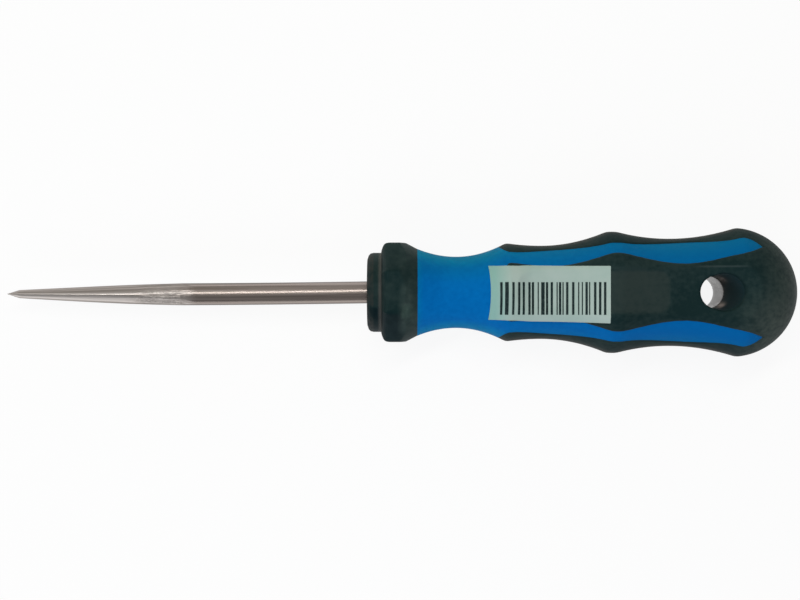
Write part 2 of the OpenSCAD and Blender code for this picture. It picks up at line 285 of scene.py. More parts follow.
feed(tree, shader.inputs["Base Color"], blended(tree, worked, plain, blended(tree, painted_bright_bands, dull, painted_bright_tone)))
feed(tree, shader.inputs["Roughness"], reckon(
    tree, "MULTIPLY_ADD", worked, 0.06, between(tree, drawn, 0.3, 0.7, 0.22, 0.32)))
marks = reckon(tree, "MULTIPLY_ADD", drawn, 0.07, product(tree, crossed, ground))
raised(tree, shader, marks, 0.00002)

blade = grow("blade", blade_form(), {
    "Bare length": bare_length, "Shank radius": 0.0025, "Taper length": taper_length, "Point length": 0.0029,
    "Point radius": 0.00100, "Flat share": 0.82, "Run-out": 0.003, "Seat in collar": 0.0015,
    "Corner rounding": 0.8, "Belly": 0.00016, "Twist": 0.04, "Lean": 0.0165,
    "Bow": 0.145, "Steel": steel})
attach(blade, "root")
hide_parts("blade")

# Handle core
# Hard blue plastic, moulded round the tang. It shows as the narrow neck and as four wavy stripes along the
# grip's diagonals, a little below the soft panels. Sizes are millimetres from the collar's front face.


def ease(t):
    t = np.clip(t, 0, 1)
    return t * t * (3 - 2 * t)


def soft_least(a, b, width):
    """The lesser of two values, rounded where they cross."""
    near = np.maximum(width - np.abs(a - b), 0) / width
    return np.minimum(a, b) - near * near * width / 4


collar_end, neck_x, front_x, index_x, palm_x = 11.42, 20.26, 31.56, 39.45, 68.57
collar_back_r, neck_r, front_r, index_r, mid_r, palm_r = 9.9, 8.1, 11.2, 10.6, 13.8, 12.2
mid_x0, mid_x1 = 54.42, 56.62
ball_x, ball_r, rise_x = 82.7, 14.7, 83.8
panel_start, nose_len, stripe_end = 29.76, 2.4, 87.7


def drawn_radius(x):
    """Parabolic hollows that rise to the crests beside them, and the ball of the butt."""
    rise_r = math.sqrt(ball_r ** 2 - (rise_x - ball_x) ** 2)
    hollows = [(neck_x, neck_x, neck_r, collar_end, collar_back_r),
               (front_x, neck_x, neck_r, front_x, front_r),
               (index_x, index_x, index_r, front_x, front_r),
               (mid_x0, index_x, index_r, mid_x0, mid_r),
               (mid_x1, 0.0, mid_r, 1.0, mid_r),
               (palm_x, palm_x, palm_r, mid_x1, mid_r),
               (rise_x, palm_x, palm_r, rise_x, rise_r)]
    r = np.sqrt(np.maximum(ball_r ** 2 - (x - ball_x) ** 2, 0))
    for end, low_x, low_r, high_x, high_r in reversed(hollows):
        r = np.where(x < end, low_r + (high_r - low_r) * ((x - low_x) / (high_x - low_x)) ** 2, r)
    return r


worn_from, worn_to, wear_step = 12.6, 86, 0.45


def handle_radius(x):
    """The drawn radius with its crests rounded over."""
    x = np.asarray(x, float)
    weights = {-2: 1, -1: 4, 0: 6, 1: 4, 2: 1}
    worn = sum(weight * drawn_radius(x + k * wear_step) for k, weight in weights.items()) / 16
    return np.where((x < worn_from) | (x >= worn_to), drawn_radius(x), worn)


flat_cut, flat_run = 1.2, 7


def grip_surface(x, turn):
    """Distance of the grip's skin from the axis: round, with long flats on the front and back."""
    r = handle_radius(x)
    along = ease((x - panel_start) / flat_run) * ease((ball_x + flat_run - x) / flat_run)
    face = r + 1 - (1 + flat_cut) * along
    return soft_least(r, face / np.maximum(np.abs(np.cos(turn)), 0.05), 0.25)


wave_lag = 2.4


def panel_half_turn(x, shares, end, bend):
    """Half the angle that a panel covers: it waves with the grip, is round in front and open at the butt."""
    stations = (front_x, index_x + wave_lag, (mid_x0 + mid_x1) / 2, palm_x + wave_lag, ball_x)
    share = np.full_like(x, shares[0])
    for i in range(4):
        t = (x - stations[i]) / (stations[i + 1] - stations[i])
        share = np.where(t > 0, shares[i] + (shares[i + 1] - shares[i]) * ease(t), share)
    past = np.clip((x - ball_x) / (stripe_end - ball_x), 0, 1)
    share = np.where(past > 0, shares[4] + (end - shares[4]) * past ** bend, share)
    nose = np.sqrt(np.maximum(1 - np.maximum(1 - (x - panel_start) / nose_len, 0) ** 2, 0))
    return np.arcsin(np.clip(share * nose, 0, 1)) * (x > panel_start)


stripe_tip, stripe_depth = 0.735, 0.28


def front_turn(x):
    return panel_half_turn(x, (0.60, 0.55, 0.64, 0.525, 0.60), stripe_tip, 1.8)


def side_turn(x):
    return panel_half_turn(x, (0.56, 0.435, 0.585, 0.385, 0.53), math.sqrt(1 - stripe_tip ** 2), 2.2)


def stripe_dip(x):
    return stripe_depth * ease((x - panel_start) / nose_len)


def placed(x, turn, r):
    """Points of the handle in metres, with the turn counted from the front towards the upper side."""
    return np.stack([x + 0 * turn, r * np.sin(turn), r * np.cos(turn)], -1) * 0.001


def shrunk(points, depth):
    """Points moved inwards by a depth: towards the axis, and in the butt towards the middle of its ball."""
    x = np.clip(points[..., 0], None, ball_x * 0.001)
    middle = np.stack([x, 0 * x, 0 * x], -1)
    arm = points - middle
    far = np.linalg.norm(arm, axis=-1, keepdims=True)
    return middle + arm * np.maximum(1 - depth * 0.001 / np.maximum(far, 1e-9), 0)


def face_point(x, y, side, depth=0.0):
    """Point of the grip's front or back skin over a place in the plane, moved inwards by a depth."""
    turn = np.arcsin(np.clip(y / handle_radius(x), -1, 1))
    for _ in range(12):
        turn = np.arcsin(np.clip(y / grip_surface(x, turn), -1, 1))
    r = grip_surface(x, turn) - depth
    return np.stack([x, r * np.sin(turn), side * r * np.cos(turn)], -1) * 0.001


hole_x, hole_r = 77.2, 3.5
hole_patch = (70.4, 85.6)
mouth_front, mouth_back, mouth_lean, mouth_flare = 1.5, 8.2, 0.15, 0.045


def hole_wall(turn, z, grown):
    """Distance of the hole's wall from its axis: a round bore that opens towards the butt at both faces."""
    over = np.where(z > 0, z - mouth_front, -z - mouth_back)
    over = (over + np.sqrt(over ** 2 + 0.2)) / 2
    lean, wide = mouth_lean * over, hole_r + mouth_flare * over
    scoop = lean * np.cos(turn) + np.sqrt(np.maximum(wide ** 2 - (lean * np.sin(turn)) ** 2, 0))
    return -soft_least(-scoop, -hole_r, 0.1) + 0.12 * np.sin(turn) ** 2 + grown


def bridged(a, b):
    """Faces between two closed rows."""
    n = len(a)
    return [(a[k], a[(k + 1) % n], b[(k + 1) % n], b[k]) for k in range(n)]


def pierced(points, faces, front, back, depth, grown, lip):
    """Leads the skin's front and back rims into the hanging hole, joins them by its wall and names that."""
    rows = []
    for rim, side in ((front, 1), (back, -1)):
        at = np.array([points[i] for i in rim]) * 1000
        turn = np.arctan2(at[:, 1], at[:, 0] - hole_x)

        def spot(r):
            return face_point(hole_x + r * np.cos(turn), r * np.sin(turn), side, depth) * 1000

        z = np.full(len(rim), 11.0 * side)
        for _ in range(8):
            z = spot(hole_wall(turn, z, grown))[:, 2]
        edge = spot(hole_wall(turn, z, grown))
        outer = spot(hole_wall(turn, z, grown) + lip)
        low = z - side * lip * 1.3
        inner = np.stack([hole_x + hole_wall(turn, low, grown) * np.cos(turn),
                          hole_wall(turn, low, grown) * np.sin(turn), low], -1)
        new = []
        for t in np.linspace(0, 1, 11)[1:]:
            flat = at[:, :2] * (1 - t) + outer[:, :2] * t
            new.append(face_point(flat[:, 0], flat[:, 1], side, depth) * 1000)
        for t in np.linspace(0, 1, 8)[1:]:
            new.append(outer * (1 - t) ** 2 + edge * 2 * t * (1 - t) + inner * t ** 2)
        rows.append((new, turn, low))
    (ahead, turn, top), (behind, _, foot) = rows
    wall = []
    for t in np.linspace(0, 1, 26)[1:-1]:
        z = top * (1 - t) + foot * t
        r = hole_wall(turn, z, grown)
        wall.append(np.stack([hole_x + r * np.cos(turn), r * np.sin(turn), z], -1))
    before = list(front)
    first = len(points) + (len(ahead) - 2) * len(front)
    for row in ahead + wall + behind[::-1]:
        now = list(range(len(points), len(points) + len(row)))
        points.extend((row * 0.001).tolist())
        faces.extend(bridged(before, now))
        before = now
    faces.extend(bridged(before, list(back)))
    return range(first, first + (len(wall) + 4) * len(front))


def block_rim(i0, i1, j0, j1):
    """Grid places round a block, in order."""
    return ([(i, j0) for i in range(i0, i1)] + [(i1, j) for j in range(j0, j1)]
            + [(i, j1) for i in range(i1, i0, -1)] + [(i0, j) for j in range(j1, j0, -1)])


nose_x = panel_start + nose_len * (1 - np.cos(np.linspace(0, np.pi / 2, 13)))
grip_x = np.concatenate([nose_x, np.linspace(nose_x[-1] + 0.4, stripe_end, 138)])
butt_turn = np.linspace(math.asin((stripe_end - ball_x) / ball_r), np.pi / 2, 30)[1:]
butt_xs = ball_x + ball_r * np.sin(butt_turn)

core_x = np.concatenate([np.linspace(collar_end, panel_start, 46)[:-1], grip_x])
half_front, half_side = front_turn(core_x), side_turn(core_x)
recess, bore_room, hole_columns, front_cap, butt_cap = 1.5, 1.25, 9, 10.5, 93.5
panel_steps, stripe_steps = np.linspace(0, 1, 11), np.linspace(0, 1, 21)
columns, lowered = [], []
for quarter in range(4):
    near, beside = (half_front, half_side) if quarter % 2 == 0 else (half_side, half_front)
    far = np.pi / 2 - beside
    start = quarter * np.pi / 2
    for t in panel_steps:
        columns.append(start + near * t)
        lowered.append(1)
    for t in stripe_steps:
        columns.append(start + near + (far - near) * t)
        lowered.append(0)
    for t in panel_steps[:-1]:
        columns.append(start + far + (np.pi / 2 - far) * t)
        lowered.append(1)
turns, lowered = np.array(columns).T, np.array(lowered)
skin = grip_surface(core_x[:, None], turns) - stripe_dip(core_x)[:, None]
skin = placed(core_x[:, None], turns, skin)
under = shrunk(placed(core_x[:, None], turns, grip_surface(core_x[:, None], turns)), recess)
under = np.where((core_x < panel_start + 0.08)[:, None, None], skin, under)
grid = np.where(lowered[None, :, None] == 1, under, skin)
points = grid.reshape(-1, 3).tolist()
rings, wide = grid.shape[:2]
block = np.searchsorted(core_x, hole_patch).tolist()
faces = []
for i in range(rings - 1):
    for j in range(wide):
        in_front = j < hole_columns or j >= wide - hole_columns
        in_back = abs(j - wide // 2 + 0.5) < hole_columns
        if not (block[0] <= i < block[1] and (in_front or in_back)):
            k = (j + 1) % wide
            faces.append((i * wide + j, i * wide + k, (i + 1) * wide + k, (i + 1) * wide + j))
rim = block_rim(block[0], block[1], -hole_columns, hole_columns)
pierced(points, faces, [i * wide + j % wide for i, j in rim],
        [i * wide + (wide // 2 - j) % wide for i, j in rim], recess, bore_room, 0.3)
for ring, x in ((0, front_cap), (rings - 1, butt_cap)):
    points.append([x * 0.001, 0, 0])
    faces += [(ring * wide + j, ring * wide + (j + 1) % wide, len(points) - 1) for j in range(wide)
              if ring == 0 or lowered[j] and lowered[(j + 1) % wide]]
mesh = bpy.data.meshes.new("handle_core")
mesh.from_pydata(points, [], faces)
core = smooth_piece("handle_core.blue", mesh)
mesh.set_sharp_from_angle(angle=math.radians(50))


def upper_share(tree):
    """Place round the axis: 1 along the upper side, 0 in front and at the back, -1 along the lower side."""
    _, y, z = piece_place(tree)
    far = reckon(tree, "SQRT", reckon(tree, "MULTIPLY_ADD", y, y, reckon(tree, "MULTIPLY", z, z)))
    return reckon(tree, "DIVIDE", y, far)


def mottled(tree, cloud, scale, detail):
    """Broad clouds and finer flecks of a moulded surface, half of each."""
    fleck = stretched_noise(tree, scale, detail)
    return reckon(tree, "MULTIPLY_ADD", fleck, 0.5, reckon(tree, "MULTIPLY", cloud, 0.5))


blue, tree, shader = new_material("blue_plastic", (0.001, 0.12, 0.38), 0.6, specular=0.05,
                                  tint=(0.1, 0.5, 0.9))
cloud = stretched_noise(tree, (90, 90, 90), 4)
grain = stretched_noise(tree, (5200, 5200, 5200), 2)
mottle = mottled(tree, cloud, (900, 900, 900), 3)
along = piece_place(tree)[0]
bright = blended(tree, between(tree, mottle, 0.38, 0.62, 0, 1), (0.0005, 0.106, 0.35), (0.001, 0.127, 0.40))
# Painted shade: the blue is darker towards the butt, where the light falls off.
bright = blended(tree, between(tree, along, 0.03, 0.088, 0, 1), bright, (0.0008, 0.099, 0.312))
# Painted light: the upper side is tinted greener and less blue, as lit from above.
upper = upper_share(tree)
bright = blended(tree, between(tree, upper, 0.25, 0.65, 0, 1), bright, (1, 1.03, 0.87), "MULTIPLY")
# Painted reflection: a lighter, greener tone along the upper and lower sides and where the neck meets the
# collar.
sides = reckon(tree, "MAXIMUM", between(tree, upper, 0.66, 0.9, 0, 1),
               between(tree, upper, -0.76, -0.93, 0, 1))
sides = product(tree, sides, between(tree, along, 0.028, 0.036, 1, 0.5))
sides = reckon(tree, "MAXIMUM", sides, between(tree, along, 0.0116, 0.0128, 0.45, 0))
feed(tree, shader.inputs["Base Color"], blended(tree, sides, bright, (1, 1.4, 0.96), "MULTIPLY"))
feed(tree, shader.inputs["Roughness"], between(tree, cloud, 0.3, 0.7, 0.55, 0.65))
raised(tree, shader, grain, 0.00003, 0.25)
mesh.materials.append(blue)
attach(core, "root")
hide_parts("handle_core")

# Front collar
# Black hard plastic ring on the core's keyed spigot: a round step in front and eight flats that stop the tool
# from rolling. One eighth is drawn as a strip and the tree sets it round the axis eight times.


def eight_round():
    """Tree that turns one strip round the axis a number of times and closes the seams."""
    tree = bpy.data.node_groups.new("eight_round", "GeometryNodeTree")
    tree.interface.new_socket("Geometry", in_out="INPUT", socket_type="NodeSocketGeometry")
    tree.interface.new_socket("Sides", in_out="INPUT", socket_type="NodeSocketInt")
    tree.interface.new_socket("Plastic", in_out="INPUT", socket_type="NodeSocketMaterial")
    tree.interface.new_socket("Geometry", in_out="OUTPUT", socket_type="NodeSocketGeometry")
    given = add_node(tree, "NodeGroupInput").outputs
    dots = add_node(tree, "GeometryNodePoints")
    feed(tree, dots.inputs["Count"], given["Sides"])
    step = reckon(tree, "DIVIDE", 2 * math.pi, given["Sides"])
    turn = reckon(tree, "MULTIPLY", add_node(tree, "GeometryNodeInputIndex").outputs[0], step)
    copies = add_node(tree, "GeometryNodeInstanceOnPoints")
    feed(tree, copies.inputs["Points"], dots.outputs[0])
    feed(tree, copies.inputs["Instance"], given["Geometry"])
    feed(tree, copies.inputs["Rotation"], joined(tree, turn))
    whole = then(tree, "GeometryNodeRealizeInstances", copies.outputs[0])
    closed = then(tree, "GeometryNodeMergeByDistance", whole, Distance=2e-6)
    dressed = then(tree, "GeometryNodeSetMaterial", closed, Material=given["Plastic"])
    feed(tree, add_node(tree, "NodeGroupOutput").inputs[0], dressed)
    return tree


collar_r, chamfer_x = 12.0, 7.4
outline = np.array([
    (1.6, 0.0, 0), (1.6, 2.06, 0), (0.1, 2.52, 0), (0.0, 3.2, 0), (0.12, 7.5, 0), (0.42, 8.4, 0),
    (0.85, 8.85, 0), (1.5, 9.0, 0), (3.2, 9.0, 0), (3.32, 9.25, 1), (3.5, 9.85, 1), (3.7, 10.35, 1),
    (4.0, 10.8, 1), (4.4, 11.05, 1), (4.9, 11.17, 1), (5.4, 11.2, 1), (8.93, 11.2, 1),
    (collar_end, collar_back_r, 1), (collar_end, 0.0, 1)])
run = np.concatenate([[0], np.cumsum(np.linalg.norm(np.diff(outline[:, :2], axis=0), axis=1))])
fine = np.unique(np.concatenate([np.arange(0, run[-1], 0.13), run]))
line = np.stack([np.interp(fine, run, outline[:, k]) for k in range(3)], -1)
lean = math.pi / 8 * np.sin(np.linspace(-math.pi / 2, math.pi / 2, 19))
r = line[:, 1:2] * (1 + line[:, 2:] * (1 / np.cos(lean)[None, :] - 1))
fall = (collar_r - collar_back_r) / (collar_end - chamfer_x)
cone = collar_r - fall * np.maximum(line[:, :1] - chamfer_x, 0)
r = soft_least(r, cone + 0 * r, 0.1)
strip = placed(line[:, :1] + 0 * r, lean[None, :] + 0 * r, r)
mesh = bpy.data.meshes.new("collar_strip")
count = len(lean)
mesh.from_pydata(strip.reshape(-1, 3).tolist(), [], [
    (i * count + j, i * count + j + 1, (i + 1) * count + j + 1, (i + 1) * count + j)
    for i in range(len(line) - 1) for j in range(count - 1)])


def distance_from(tree, spot):
    """Distance of the surface from a spot, in metres."""
    gap = add_node(tree, "ShaderNodeVectorMath", operation="DISTANCE")
    feed(tree, gap.inputs[0], add_node(tree, "ShaderNodeTexCoord").outputs["Object"])
    gap.inputs[1].default_value = spot
    return gap.outputs["Value"]


black, tree, shader = new_material("collar_plastic", (0.008, 0.02, 0.02), 0.5, specular=0.13,
                                   tint=(0.62, 1, 1))
cloud = stretched_noise(tree, (120, 120, 120), 5)
grain = stretched_noise(tree, (4200, 4200, 4200), 2)
mottle = mottled(tree, cloud, (600, 600, 600), 4)
along = piece_place(tree)[0]
moulded = blended(tree, between(tree, mottle, 0.4, 0.6, 0, 1), (0.004, 0.0135, 0.0145),
                  (0.013, 0.0245, 0.024))
# Painted shade: the lower side is darker, up to the chamfer.
lower = product(tree, between(tree, upper_share(tree), -0.36, -0.44, 0, 1),
                between(tree, along, 0.0078, 0.0088, 1, 0))
moulded = blended(tree, lower, moulded, (0.45, 0.55, 0.66), "MULTIPLY")
step = product(tree, between(tree, along, 0.0014, 0.0018, 1, 0), between(tree, mottle, 0.42, 0.58, 0.1, 1))
moulded = blended(tree, step, moulded, (0.024, 0.025, 0.023))
# Painted highlight: a lighter patch low on the front of the rear chamfer, with a brighter spot in its middle.
near = distance_from(tree, (0.0087, -0.0044, 0.0103))
painted_flank_light = product(tree, between(tree, along, 0.0068, 0.0085, 0, 1),
                 between(tree, near, 0.002, 0.008, 0.95, 0.25), between(tree, mottle, 0.4, 0.6, 0.5, 1))
worn = blended(tree, painted_flank_light, moulded, (0.034, 0.05, 0.046))
painted_flank_glint = product(tree, between(tree, along, 0.0074, 0.0080, 0, 1), between(tree, near, 0.0003, 0.0022, 0.8, 0),
                between(tree, mottle, 0.4, 0.6, 0.4, 1))
worn = blended(tree, painted_flank_glint, worn, (0.06, 0.1, 0.082))
# Painted reflection: a lighter ring in the fillet behind the front step.
painted_fillet_light = product(tree, between(tree, along, 0.0025, 0.0031, 0, 1), between(tree, along, 0.0032, 0.0036, 1, 0),
                 between(tree, cloud, 0.3, 0.7, 0.4, 1))
feed(tree, shader.inputs["Base Color"], blended(tree, painted_fillet_light, worn, (0.075, 0.072, 0.066)))
feed(tree, shader.inputs["Roughness"], between(tree, cloud, 0.3, 0.7, 0.46, 0.56))
raised(tree, shader, grain, 0.00003, 0.3)
collar = grow("front_collar", eight_round(), {"Sides": 8, "Plastic": black}, mesh)
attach(collar, "root")
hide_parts("front_collar")

# Grip panels
# Black soft plastic, moulded over the core in one shot: four panels with rounded edges that run together in
# the domed butt, a shallow bare field in front, and the lining of the hanging hole with its scooped mouths.

field_x, field_half_len, field_half_wide, field_corner, field_depth = 51.5, 12.9, 2.1, 2.6, 0.14
panel_wall, edge_round, edge_under, wear_wide, dip_end = 1.45, 0.5, 0.05, 1.1, 90
panel_x = np.concatenate([grip_x, butt_xs])
rings = len(panel_x)
counts = (49, 31, 49, 31)
outer, inner, rims, fields = [], [], [], []
for panel in range(4):
    half_turn = front_turn if panel % 2 == 0 else side_turn
    half = half_turn(panel_x)
    reach = half * handle_radius(panel_x)
    edge = np.array([0, 0.05, 0.13, 0.24, 0.4, 0.65])
    cut = 1 - np.minimum(edge[None, :] / np.maximum(reach, 1e-6)[:, None], 0.5 * edge[None, :] / edge[-1])
    middle = np.linspace(-1, 1, counts[panel] - 10)[None, 1:-1] * cut[:, -1:]
    across = np.concatenate([-cut, middle, cut[:, ::-1]], 1)
    turn = across * half[:, None]
    skin_r = grip_surface(panel_x[:, None], turn + panel * np.pi / 2)
    away = turn * handle_radius(panel_x)[:, None]
    border_x = np.linspace(panel_start, stripe_end, 700)
    border = half_turn(border_x) * handle_radius(border_x)
    near = np.full(turn.shape, 1e9)
    for x, s in zip(border_x, border):
        gap = np.minimum((away - s) ** 2, (away + s) ** 2) + (panel_x[:, None] - x) ** 2
        near = np.minimum(near, gap)
    near = np.sqrt(near)
    rise = np.sqrt(1 - (1 - np.clip(near / edge_round, 0, 1)) ** 2)
    dip = stripe_dip(panel_x) * (panel_x < dip_end) + edge_under
    lip_r = skin_r - dip[:, None] * (1 - rise)
    if panel == 0:
        y = lip_r * np.sin(turn)
        past = np.abs(panel_x[:, None] - field_x + 0 * y) - field_half_len
        q = np.stack([past, np.abs(y) - field_half_wide], -1)
        field = np.linalg.norm(np.maximum(q, 0), axis=-1) + np.minimum(q.max(-1), 0) - field_corner
        sunk = ease((0.3 - field) / 0.7)
        lip_r = lip_r - field_depth * sunk
    outer.append(placed(panel_x[:, None], turn + panel * np.pi / 2, lip_r))
    inner.append(shrunk(placed(panel_x[:, None], turn + panel * np.pi / 2, skin_r), panel_wall))
    rims.append(np.clip(1 - near / wear_wide, 0, 1))
    fields.append(sunk if panel == 0 else 0 * near)
points, faces, ids = [], [], []
values = {"edge_wear": [], "field": [], "scoop": [], "painted_bore_highlight": []}
for skin in (outer, inner):
    ids.append([])
    for panel in range(4):
        at = len(points)
        points += skin[panel].reshape(-1, 3).tolist()
        values["edge_wear"] += rims[panel].reshape(-1).tolist()
        values["field"] += fields[panel].reshape(-1).tolist()
        ids[-1].append(np.arange(at, len(points)).reshape(rings, -1))
block = np.searchsorted(panel_x, hole_patch).tolist()
j0, j1 = 9, 39
for layer in ids:
    for panel in range(4):
        g = layer[panel]
        for i in range(rings - 1):
            for j in range(g.shape[1] - 1):
                if panel % 2 == 0 and block[0] <= i < block[1] and j0 <= j < j1:
                    continue
                faces.append((g[i, j], g[i, j + 1], g[i + 1, j + 1], g[i + 1, j]))
last = len(grip_x) - 1
for panel in range(4):
    for j in (0, -1):
        a, b = ids[0][panel][:, j], ids[1][panel][:, j]
        faces += [(a[i], a[i + 1], b[i + 1], b[i]) for i in range(last)]
rim = block_rim(block[0], block[1], j0, j1)
bores = []
for layer, room in ((ids[0], (0.0, 0.0, 0.7)), (ids[1], (panel_wall, 1.2, 0.3))):
    front = [layer[0][i, j] for i, j in rim]
    back = [layer[2][i, counts[2] - 1 - j] for i, j in rim]
    bores.append(pierced(points, faces, front, back, *room))
mesh = bpy.data.meshes.new("grip_panels")
mesh.from_pydata(points, [], [tuple(int(k) for k in f) for f in faces])
wall = np.array(bores[0])
spots = np.array(points)[wall] * 1000
height = spots[:, 2]
bearing = np.abs(np.arctan2(spots[:, 1], spots[:, 0] - hole_x))
# Painted highlights: two light streaks on the front half of the hole's wall, towards the butt, above and
# below.
highlight_bearing, highlight_low, highlight_high = 0.87, 0.8, 6.5
bore_highlight_share = np.exp(-((bearing - highlight_bearing) / 0.2) ** 2)
bore_highlight_share = bore_highlight_share * ease((height - highlight_low) / 1.2) * ease((highlight_high - height) / 2.5)
for name, known in values.items():
    known = np.array(known + [0.0] * (len(points) - len(known)), np.float32)
    if name == "scoop":
        known[wall] = 1
    if name == "painted_bore_highlight":
        known[wall] = bore_highlight_share
    mesh.attributes.new(name, "FLOAT", "POINT").data.foreach_set("value", known)
straight_rows = slice(12, 25)
straight = set(wall.reshape(-1, len(rim))[straight_rows].ravel().tolist())
for face in mesh.polygons:
    face.material_index = int(straight.issuperset(face.vertices))
grip = smooth_piece("grip_panels.black", mesh)
mesh.set_sharp_from_angle(angle=math.radians(60))

rubber, tree, shader = new_material("soft_black", (0.008, 0.02, 0.02), 0.6, specular=0.11,
                                    tint=(0.62, 1, 1))
cloud = stretched_noise(tree, (75, 95, 95), 5, 0.4)
grain = stretched_noise(tree, (3600, 3600, 3600), 2)
mottle = mottled(tree, cloud, (800, 1000, 1000), 4)
along, up, out = piece_place(tree)
wear, field, scoop, painted_streaks = [
    add_node(tree, "ShaderNodeAttribute", attribute_name=name).outputs["Fac"] for name in values]
handled = blended(tree, between(tree, mottle, 0.4, 0.6, 0, 1), (0.0055, 0.016, 0.017),
                  (0.0145, 0.0275, 0.0275))
pressed = product(tree, field, between(tree, mottle, 0.4, 0.6, 0.6, 1))
handled = blended(tree, pressed, handled, (0.0225, 0.0335, 0.0315))
# Painted light: the hole's mouths are a little lighter, standing in for light that reaches into them.
handled = blended(tree, scoop, handled, (0.012, 0.03, 0.035))
# Painted highlights: the light streaks on the hole's wall.
handled = blended(tree, painted_streaks, handled, (0.5, 0.42, 0.375))
# Painted light: the butt's dome is lighter towards its end and on its lower side.
near = distance_from(tree, (0.0915, -0.0075, 0.008))
painted_dome_light = reckon(tree, "MAXIMUM", between(tree, along, 0.086, 0.096, 0, 0.75),
              between(tree, near, 0.003, 0.012, 1, 0))
painted_dome_light = product(tree, painted_dome_light, between(tree, mottle, 0.4, 0.6, 0.4, 1))
handled = blended(tree, painted_dome_light, handled, (0.052, 0.066, 0.058))
# Painted sheen: a warm lighter tone along the upper and lower edges, where the skin turns away from the
# front.
painted_rim_sheen = between(tree, reckon(tree, "ABSOLUTE", out), 0.0008, 0.0048, 1, 0)
painted_rim_sheen = product(tree, reckon(tree, "POWER", painted_rim_sheen, 1.5), between(tree, mottle, 0.4, 0.6, 0.5, 1))
handled = blended(tree, painted_rim_sheen, handled, (0.07, 0.06, 0.053))
# Painted highlight: a thin light line along the upper edge of the front flat beside the hole.
painted_crease_highlight = product(tree, between(tree, off(tree, up, 0.00565), 0.0001, 0.0003, 1, 0),
               reckon(tree, "GREATER_THAN", out, 0.0),
               between(tree, along, 0.0715, 0.0745, 0, 0.4),
               between(tree, along, 0.0815, 0.0845, 1, 0))
handled = blended(tree, painted_crease_highlight, handled, (0.045, 0.06, 0.062))
edges = between(tree, product(tree, wear, cloud), 0.1, 0.6, 0, 0.6)
feed(tree, shader.inputs["Base Color"], blended(tree, edges, handled, (0.022, 0.034, 0.033)))
feed(tree, shader.inputs["Roughness"], between(tree, cloud, 0.3, 0.7, 0.54, 0.64))
raised(tree, shader, grain, 0.00004, 0.35)
mesh.materials.append(rubber)
# The bore wall is the same black plastic, smoother and glossier; its lighter, warm tone is painted reflection
# of the pale floor seen at a grazing angle.
sleek, tree, shader = new_material("bore_black", (0.03, 0.045, 0.042), 0.3, specular=0.6,
                                   tint=(1.0, 0.93, 0.88))
drawn = stretched_noise(tree, (900, 900, 160), 3)
feed(tree, shader.inputs["Base Color"], blended(
    tree, between(tree, drawn, 0.35, 0.7, 0, 1), (0.06, 0.051, 0.046), (0.13, 0.108, 0.097)))
feed(tree, shader.inputs["Roughness"], between(tree, drawn, 0.3, 0.7, 0.24, 0.36))
mesh.materials.append(sleek)
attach(grip, "root")
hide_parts("grip_overmould")

# Shop label
# A strip of coated paper glued across the neck flare and the front panel, following the hollow under it. Its
# corners lift a little. The print is one row of plain bars, whose widths are set by chance.

label_x, label_len, label_wide, paper_thick, glue_gap = 27.16, 26.5, 12.4, 0.1, 0.05
rows, wide = 81, 41
u, v = np.meshgrid(np.linspace(0, 1, rows), np.linspace(0, 1, wide), indexing="ij")
x = label_x + label_len * u + 0.45 * (1 - u) ** 4 * (1 - (2 * v - 1) ** 2)
half_girth, label_low, label_tilt = 6.3, 0.17, 0.47
girth = half_girth * (1 - 2 * v) - label_low - label_tilt * u
y = np.empty_like(x)
reach = np.linspace(0, 8.5, 160)
for i in range(rows):
    row = face_point(np.full(len(reach), label_x + label_len * u[i, 0]), reach, 1) * 1000
    paced = np.concatenate([[0], np.cumsum(np.linalg.norm(np.diff(row, axis=0), axis=1))])
    y[i] = np.sign(girth[i]) * np.interp(np.abs(girth[i]), paced, reach)
ripple = 0.05 * np.sin(5.1 * u + 2.0) * np.sin(3.0 * v + 0.4) * u * (1 - u) * 4
lifted = 0.12 * ((1 - u) ** 8) * (2 * v - 1) ** 6
from_corner = np.hypot(u * label_len + 0.5, v * label_wide + 1.0)
crease = 0.03 * np.exp(-((from_corner - 4.2) / 0.25) ** 2) * (u < 0.3)
sheet = [face_point(x, y, 1, -(glue_gap + layer + ripple + lifted + crease)) for layer in (paper_thick, 0.0)]
points, faces = np.concatenate([s.reshape(-1, 3) for s in sheet]).tolist(), []
for i in range(rows - 1):
    for j in range(wide - 1):
        a = i * wide + j
        faces.append((a, a + 1, a + wide + 1, a + wide))
        b = a + rows * wide
        faces.append((b, b + wide, b + wide + 1, b + 1))
edge = [i * wide + j for i, j in block_rim(0, rows - 1, 0, wide - 1)]
faces += bridged(edge, [k + rows * wide for k in edge])
mesh = bpy.data.meshes.new("paper_label")
mesh.from_pydata(points, [], faces)
label = smooth_piece("shop_label", mesh)
mesh.set_sharp_from_angle(angle=math.radians(60))

paper, tree, shader = new_material("label_paper", (0.33, 0.42, 0.385), 0.6, specular=0.2)
fibre = stretched_noise(tree, (900, 1500, 900), 5, 0.3)
blot = stretched_noise(tree, (160, 160, 160), 3)
along = piece_place(tree)[0]
sheer = between(tree, along, 0.0285, 0.0325, 1, 0)
plain = blended(tree, between(tree, blot, 0.35, 0.7, 0, 1), (0.31, 0.405, 0.37), (0.36, 0.44, 0.41))
feed(tree, shader.inputs["Base Color"], blended(tree, product(tree, sheer, 0.85), plain, (0.2, 0.385, 0.345)))
feed(tree, shader.inputs["Roughness"], between(tree, fibre, 0.3, 0.7, 0.52, 0.7))
raised(tree, shader, fibre, 0.00003, 0.3)
mesh.materials.append(paper)
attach(label, "root")
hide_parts("paper_label")


